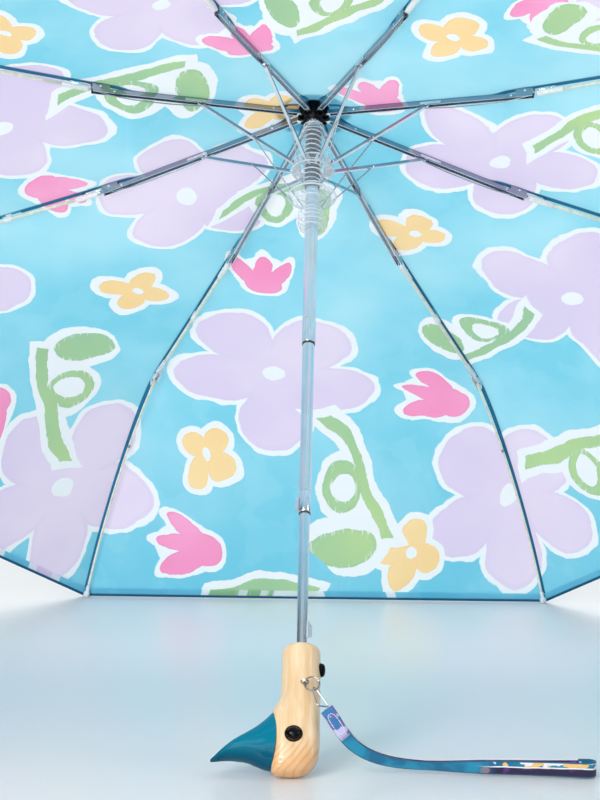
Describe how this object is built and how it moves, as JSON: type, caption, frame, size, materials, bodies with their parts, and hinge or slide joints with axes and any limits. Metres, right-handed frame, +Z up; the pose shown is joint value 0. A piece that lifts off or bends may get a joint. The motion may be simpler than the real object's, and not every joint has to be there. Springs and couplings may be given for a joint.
{
  "type": "folding umbrella",
  "caption": "Folding umbrella standing open, with a printed fabric canopy on hinged ribs, a telescopic shaft and a wooden handle carved as a duck's head with a wrist strap.",
  "frame": {"origin": "on the floor, under the middle of the open umbrella's box, leaving out the wrist strap", "axes": "+Z up, +X to the right as the umbrella is seen from under its canopy, with the duck's beak towards -X; the shaft leans back towards +Y"},
  "size_m": [0.898, 0.6984, 0.5881],
  "materials": {
    "canopy_fabric": "woven polyester, printed",
    "rib_steel": "satin",
    "stretcher_steel": "satin",
    "rib_fibreglass": "satin",
    "rib_tip_fibreglass": "satin",
    "hub_plastic": "satin",
    "cap_plastic": "gloss",
    "tube_steel": "bright",
    "runner_clear": "clear",
    "spring_steel": "satin",
    "catch_steel": "satin",
    "handle_maple": "lacquered",
    "beak_gloss": "gloss",
    "eye_gloss": "gloss",
    "button_plastic": "satin",
    "fitting_chrome": "bright",
    "strap_fabric": "woven"
  },
  "bodies": {
    "canopy": {"top_notch": "hub_plastic", "top_cap": "cap_plastic", "upper_tube": "tube_steel", "canopy_gore_1": "canopy_fabric", "canopy_gore_2": "canopy_fabric", "canopy_gore_3": "canopy_fabric", "canopy_gore_4": "canopy_fabric", "canopy_gore_5": "canopy_fabric", "canopy_gore_6": "canopy_fabric", "canopy_gore_7": "canopy_fabric", "canopy_gore_8": "canopy_fabric"},
    "middle_tube": {"middle_tube": "tube_steel"},
    "lower_tube": {"lower_tube": "tube_steel", "handle": "handle_maple", "handle_beak": "beak_gloss", "eye_front": "eye_gloss", "eye_back": "eye_gloss", "screw_eye": "fitting_chrome"},
    "runner": {"runner": "runner_clear", "runner_spring": "spring_steel"},
    "lower_collar": {"lower_collar": "runner_clear"},
    "upper_catch": {"upper_catch": "catch_steel"},
    "lower_catch": {"lower_catch": "catch_steel"},
    "push_button": {"push_button": "button_plastic"},
    "strap_ring": {"strap_ring": "fitting_chrome"},
    "wrist_strap": {"strap_link": "fitting_chrome", "wrist_strap": "strap_fabric"},
    "inner_rib_1": {"inner_rib_1": "rib_steel"},
    "stretcher_1": {"stretcher_1": "stretcher_steel"},
    "middle_rib_1": {"middle_rib_1": "rib_fibreglass"},
    "outer_rib_1": {"outer_rib_1": "rib_tip_fibreglass"},
    "inner_rib_2": {"inner_rib_2": "rib_steel"},
    "stretcher_2": {"stretcher_2": "stretcher_steel"},
    "middle_rib_2": {"middle_rib_2": "rib_fibreglass"},
    "outer_rib_2": {"outer_rib_2": "rib_tip_fibreglass"},
    "inner_rib_3": {"inner_rib_3": "rib_steel"},
    "stretcher_3": {"stretcher_3": "stretcher_steel"},
    "middle_rib_3": {"middle_rib_3": "rib_fibreglass"},
    "outer_rib_3": {"outer_rib_3": "rib_tip_fibreglass"},
    "inner_rib_4": {"inner_rib_4": "rib_steel"},
    "stretcher_4": {"stretcher_4": "stretcher_steel"},
    "middle_rib_4": {"middle_rib_4": "rib_fibreglass"},
    "outer_rib_4": {"outer_rib_4": "rib_tip_fibreglass"},
    "inner_rib_5": {"inner_rib_5": "rib_steel"},
    "stretcher_5": {"stretcher_5": "stretcher_steel"},
    "middle_rib_5": {"middle_rib_5": "rib_fibreglass"},
    "outer_rib_5": {"outer_rib_5": "rib_tip_fibreglass"},
    "inner_rib_6": {"inner_rib_6": "rib_steel"},
    "stretcher_6": {"stretcher_6": "stretcher_steel"},
    "middle_rib_6": {"middle_rib_6": "rib_fibreglass"},
    "outer_rib_6": {"outer_rib_6": "rib_tip_fibreglass"},
    "inner_rib_7": {"inner_rib_7": "rib_steel"},
    "stretcher_7": {"stretcher_7": "stretcher_steel"},
    "middle_rib_7": {"middle_rib_7": "rib_fibreglass"},
    "outer_rib_7": {"outer_rib_7": "rib_tip_fibreglass"},
    "inner_rib_8": {"inner_rib_8": "rib_steel"},
    "stretcher_8": {"stretcher_8": "stretcher_steel"},
    "middle_rib_8": {"middle_rib_8": "rib_fibreglass"},
    "outer_rib_8": {"outer_rib_8": "rib_tip_fibreglass"}
  },
  "joints": [
    {"name": "runner_slide", "type": "slide", "parent": "canopy", "child": "runner", "axis": [0, -0.6334, -0.7738], "range_m": [0, 0.1134], "deforming": ["canopy_gore_1", "canopy_gore_2", "canopy_gore_3", "canopy_gore_4", "canopy_gore_5", "canopy_gore_6", "canopy_gore_7", "canopy_gore_8"]},
    {"name": "collar_slide", "type": "slide", "parent": "canopy", "child": "lower_collar", "axis": [0, -0.6334, -0.7738], "range_m": [0, 0.1026]},
    {"name": "middle_tube_slide", "type": "slide", "parent": "canopy", "child": "middle_tube", "axis": [0, 0.6334, 0.7738], "range_m": [0, 0.114]},
    {"name": "lower_tube_slide", "type": "slide", "parent": "middle_tube", "child": "lower_tube", "axis": [0, 0.6334, 0.7738], "range_m": [0, 0.08]},
    {"name": "upper_catch_press", "type": "slide", "parent": "middle_tube", "child": "upper_catch", "axis": [1, 0, 0], "range_m": [0, 0.0006], "stiffness_N_per_m": 600, "springref_m": -0.0008},
    {"name": "lower_catch_press", "type": "slide", "parent": "lower_tube", "child": "lower_catch", "axis": [-1, 0, 0], "range_m": [0, 0.0016], "stiffness_N_per_m": 600, "springref_m": -0.0008},
    {"name": "push_button_press", "type": "slide", "parent": "lower_tube", "child": "push_button", "axis": [-1, 0, 0], "range_m": [0, 0.0018], "stiffness_N_per_m": 600, "springref_m": -0.0008},
    {"name": "strap_ring_swing", "type": "hinge", "parent": "lower_tube", "child": "strap_ring", "pos_m": [0.003, -0.20735, 0.05936], "axis": [0, 0, 1], "range_deg": [-8, 8]},
    {"name": "wrist_strap_swing", "type": "hinge", "parent": "strap_ring", "child": "wrist_strap", "pos_m": [0.00965, -0.21113, 0.05489], "axis": [0, 0, 1], "range_deg": [-8, 8]},
    {"name": "inner_rib_1_fold", "type": "hinge", "parent": "canopy", "child": "inner_rib_1", "pos_m": [-0.00383, 0.104, 0.39896], "axis": [-0.9239, -0.2961, 0.2424], "range_deg": [0, 77.75]},
    {"name": "stretcher_1_fold", "type": "hinge", "parent": "inner_rib_1", "child": "stretcher_1", "pos_m": [-0.03338, 0.1507, 0.34334], "axis": [0.9239, 0.2961, -0.2424], "range_deg": [0, 144.78]},
    {"name": "middle_rib_1_fold", "type": "hinge", "parent": "inner_rib_1", "child": "middle_rib_1", "pos_m": [-0.06182, 0.1988, 0.29374], "axis": [0.9239, 0.2961, -0.2424], "range_deg": [0, 171.25]},
    {"name": "outer_rib_1_fold", "type": "hinge", "parent": "middle_rib_1", "child": "outer_rib_1", "pos_m": [-0.1272, 0.31077, 0.18135], "axis": [-0.9239, -0.2961, 0.2424], "range_deg": [0, 143]},
    {"name": "inner_rib_2_fold", "type": "hinge", "parent": "canopy", "child": "inner_rib_2", "pos_m": [-0.00924, 0.09981, 0.40238], "axis": [-0.3827, -0.7149, 0.5852], "range_deg": [0, 77.75]},
    {"name": "stretcher_2_fold", "type": "hinge", "parent": "inner_rib_2", "child": "stretcher_2", "pos_m": [-0.0806, 0.11416, 0.37325], "axis": [0.3827, 0.7149, -0.5852], "range_deg": [0, 144.78]},
    {"name": "middle_rib_2_fold", "type": "hinge", "parent": "inner_rib_2", "child": "middle_rib_2", "pos_m": [-0.14924, 0.13115, 0.34912], "axis": [0.3827, 0.7149, -0.5852], "range_deg": [0, 171.25]},
    {"name": "outer_rib_2_fold", "type": "hinge", "parent": "middle_rib_2", "child": "outer_rib_2", "pos_m": [-0.30708, 0.17157, 0.29528], "axis": [-0.3827, -0.7149, 0.5852], "range_deg": [0, 143]},
    {"name": "inner_rib_3_fold", "type": "hinge", "parent": "canopy", "child": "inner_rib_3", "pos_m": [-0.00924, 0.09389, 0.40723], "axis": [0.3827, -0.7149, 0.5852], "range_deg": [0, 77.75]},
    {"name": "stretcher_3_fold", "type": "hinge", "parent": "inner_rib_3", "child": "stretcher_3", "pos_m": [-0.0806, 0.06249, 0.41554], "axis": [-0.3827, 0.7149, -0.5852], "range_deg": [0, 144.78]},
    {"name": "middle_rib_3_fold", "type": "hinge", "parent": "inner_rib_3", "child": "middle_rib_3", "pos_m": [-0.14924, 0.03548, 0.42743], "axis": [-0.3827, 0.7149, -0.5852], "range_deg": [0, 171.25]},
    {"name": "outer_rib_3_fold", "type": "hinge", "parent": "middle_rib_3", "child": "outer_rib_3", "pos_m": [-0.30708, -0.02529, 0.45641], "axis": [0.3827, -0.7149, 0.5852], "range_deg": [0, 143]},
    {"name": "inner_rib_4_fold", "type": "hinge", "parent": "canopy", "child": "inner_rib_4", "pos_m": [-0.00383, 0.0897, 0.41066], "axis": [0.9239, -0.2961, 0.2424], "range_deg": [0, 77.75]},
    {"name": "stretcher_4_fold", "type": "hinge", "parent": "inner_rib_4", "child": "stretcher_4", "pos_m": [-0.03338, 0.02595, 0.44544], "axis": [-0.9239, 0.2961, -0.2424], "range_deg": [0, 144.78]},
    {"name": "middle_rib_4_fold", "type": "hinge", "parent": "inner_rib_4", "child": "middle_rib_4", "pos_m": [-0.06182, -0.03218, 0.4828], "axis": [-0.9239, 0.2961, -0.2424], "range_deg": [0, 171.25]},
    {"name": "outer_rib_4_fold", "type": "hinge", "parent": "middle_rib_4", "child": "outer_rib_4", "pos_m": [-0.1272, -0.16448, 0.57034], "axis": [0.9239, -0.2961, 0.2424], "range_deg": [0, 143]},
    {"name": "inner_rib_5_fold", "type": "hinge", "parent": "canopy", "child": "inner_rib_5", "pos_m": [0.00383, 0.0897, 0.41066], "axis": [0.9239, 0.2961, -0.2424], "range_deg": [0, 77.75]},
    {"name": "stretcher_5_fold", "type": "hinge", "parent": "inner_rib_5", "child": "stretcher_5", "pos_m": [0.03338, 0.02595, 0.44544], "axis": [-0.9239, -0.2961, 0.2424], "range_deg": [0, 144.78]},
    {"name": "middle_rib_5_fold", "type": "hinge", "parent": "inner_rib_5", "child": "middle_rib_5", "pos_m": [0.06182, -0.03218, 0.4828], "axis": [-0.9239, -0.2961, 0.2424], "range_deg": [0, 171.25]},
    {"name": "outer_rib_5_fold", "type": "hinge", "parent": "middle_rib_5", "child": "outer_rib_5", "pos_m": [0.1272, -0.16448, 0.57034], "axis": [0.9239, 0.2961, -0.2424], "range_deg": [0, 143]},
    {"name": "inner_rib_6_fold", "type": "hinge", "parent": "canopy", "child": "inner_rib_6", "pos_m": [0.00924, 0.09389, 0.40723], "axis": [0.3827, 0.7149, -0.5852], "range_deg": [0, 77.75]},
    {"name": "stretcher_6_fold", "type": "hinge", "parent": "inner_rib_6", "child": "stretcher_6", "pos_m": [0.0806, 0.06249, 0.41554], "axis": [-0.3827, -0.7149, 0.5852], "range_deg": [0, 144.78]},
    {"name": "middle_rib_6_fold", "type": "hinge", "parent": "inner_rib_6", "child": "middle_rib_6", "pos_m": [0.14924, 0.03548, 0.42743], "axis": [-0.3827, -0.7149, 0.5852], "range_deg": [0, 171.25]},
    {"name": "outer_rib_6_fold", "type": "hinge", "parent": "middle_rib_6", "child": "outer_rib_6", "pos_m": [0.30708, -0.02529, 0.45641], "axis": [0.3827, 0.7149, -0.5852], "range_deg": [0, 143]},
    {"name": "inner_rib_7_fold", "type": "hinge", "parent": "canopy", "child": "inner_rib_7", "pos_m": [0.00924, 0.09981, 0.40238], "axis": [-0.3827, 0.7149, -0.5852], "range_deg": [0, 77.75]},
    {"name": "stretcher_7_fold", "type": "hinge", "parent": "inner_rib_7", "child": "stretcher_7", "pos_m": [0.0806, 0.11416, 0.37325], "axis": [0.3827, -0.7149, 0.5852], "range_deg": [0, 144.78]},
    {"name": "middle_rib_7_fold", "type": "hinge", "parent": "inner_rib_7", "child": "middle_rib_7", "pos_m": [0.14924, 0.13115, 0.34912], "axis": [0.3827, -0.7149, 0.5852], "range_deg": [0, 171.25]},
    {"name": "outer_rib_7_fold", "type": "hinge", "parent": "middle_rib_7", "child": "outer_rib_7", "pos_m": [0.30708, 0.17157, 0.29528], "axis": [-0.3827, 0.7149, -0.5852], "range_deg": [0, 143]},
    {"name": "inner_rib_8_fold", "type": "hinge", "parent": "canopy", "child": "inner_rib_8", "pos_m": [0.00383, 0.104, 0.39896], "axis": [-0.9239, 0.2961, -0.2424], "range_deg": [0, 77.75]},
    {"name": "stretcher_8_fold", "type": "hinge", "parent": "inner_rib_8", "child": "stretcher_8", "pos_m": [0.03338, 0.1507, 0.34334], "axis": [0.9239, -0.2961, 0.2424], "range_deg": [0, 144.78]},
    {"name": "middle_rib_8_fold", "type": "hinge", "parent": "inner_rib_8", "child": "middle_rib_8", "pos_m": [0.06182, 0.1988, 0.29374], "axis": [0.9239, -0.2961, 0.2424], "range_deg": [0, 171.25]},
    {"name": "outer_rib_8_fold", "type": "hinge", "parent": "middle_rib_8", "child": "outer_rib_8", "pos_m": [0.1272, 0.31077, 0.18135], "axis": [-0.9239, 0.2961, -0.2424], "range_deg": [0, 143]}
  ],
  "couplings": [
    {"joint": "collar_slide", "follows": "runner_slide", "ratio": 0.903},
    {"joint": "inner_rib_1_fold", "follows": "runner_slide", "rad_per_m": 11.959},
    {"joint": "stretcher_1_fold", "follows": "runner_slide", "rad_per_m": 22.275},
    {"joint": "middle_rib_1_fold", "follows": "runner_slide", "rad_per_m": 26.349},
    {"joint": "outer_rib_1_fold", "follows": "runner_slide", "rad_per_m": 22.001},
    {"joint": "inner_rib_2_fold", "follows": "runner_slide", "rad_per_m": 11.959},
    {"joint": "stretcher_2_fold", "follows": "runner_slide", "rad_per_m": 22.275},
    {"joint": "middle_rib_2_fold", "follows": "runner_slide", "rad_per_m": 26.349},
    {"joint": "outer_rib_2_fold", "follows": "runner_slide", "rad_per_m": 22.001},
    {"joint": "inner_rib_3_fold", "follows": "runner_slide", "rad_per_m": 11.959},
    {"joint": "stretcher_3_fold", "follows": "runner_slide", "rad_per_m": 22.275},
    {"joint": "middle_rib_3_fold", "follows": "runner_slide", "rad_per_m": 26.349},
    {"joint": "outer_rib_3_fold", "follows": "runner_slide", "rad_per_m": 22.001},
    {"joint": "inner_rib_4_fold", "follows": "runner_slide", "rad_per_m": 11.959},
    {"joint": "stretcher_4_fold", "follows": "runner_slide", "rad_per_m": 22.275},
    {"joint": "middle_rib_4_fold", "follows": "runner_slide", "rad_per_m": 26.349},
    {"joint": "outer_rib_4_fold", "follows": "runner_slide", "rad_per_m": 22.001},
    {"joint": "inner_rib_5_fold", "follows": "runner_slide", "rad_per_m": 11.959},
    {"joint": "stretcher_5_fold", "follows": "runner_slide", "rad_per_m": 22.275},
    {"joint": "middle_rib_5_fold", "follows": "runner_slide", "rad_per_m": 26.349},
    {"joint": "outer_rib_5_fold", "follows": "runner_slide", "rad_per_m": 22.001},
    {"joint": "inner_rib_6_fold", "follows": "runner_slide", "rad_per_m": 11.959},
    {"joint": "stretcher_6_fold", "follows": "runner_slide", "rad_per_m": 22.275},
    {"joint": "middle_rib_6_fold", "follows": "runner_slide", "rad_per_m": 26.349},
    {"joint": "outer_rib_6_fold", "follows": "runner_slide", "rad_per_m": 22.001},
    {"joint": "inner_rib_7_fold", "follows": "runner_slide", "rad_per_m": 11.959},
    {"joint": "stretcher_7_fold", "follows": "runner_slide", "rad_per_m": 22.275},
    {"joint": "middle_rib_7_fold", "follows": "runner_slide", "rad_per_m": 26.349},
    {"joint": "outer_rib_7_fold", "follows": "runner_slide", "rad_per_m": 22.001},
    {"joint": "inner_rib_8_fold", "follows": "runner_slide", "rad_per_m": 11.959},
    {"joint": "stretcher_8_fold", "follows": "runner_slide", "rad_per_m": 22.275},
    {"joint": "middle_rib_8_fold", "follows": "runner_slide", "rad_per_m": 26.349},
    {"joint": "outer_rib_8_fold", "follows": "runner_slide", "rad_per_m": 22.001}
  ]
}
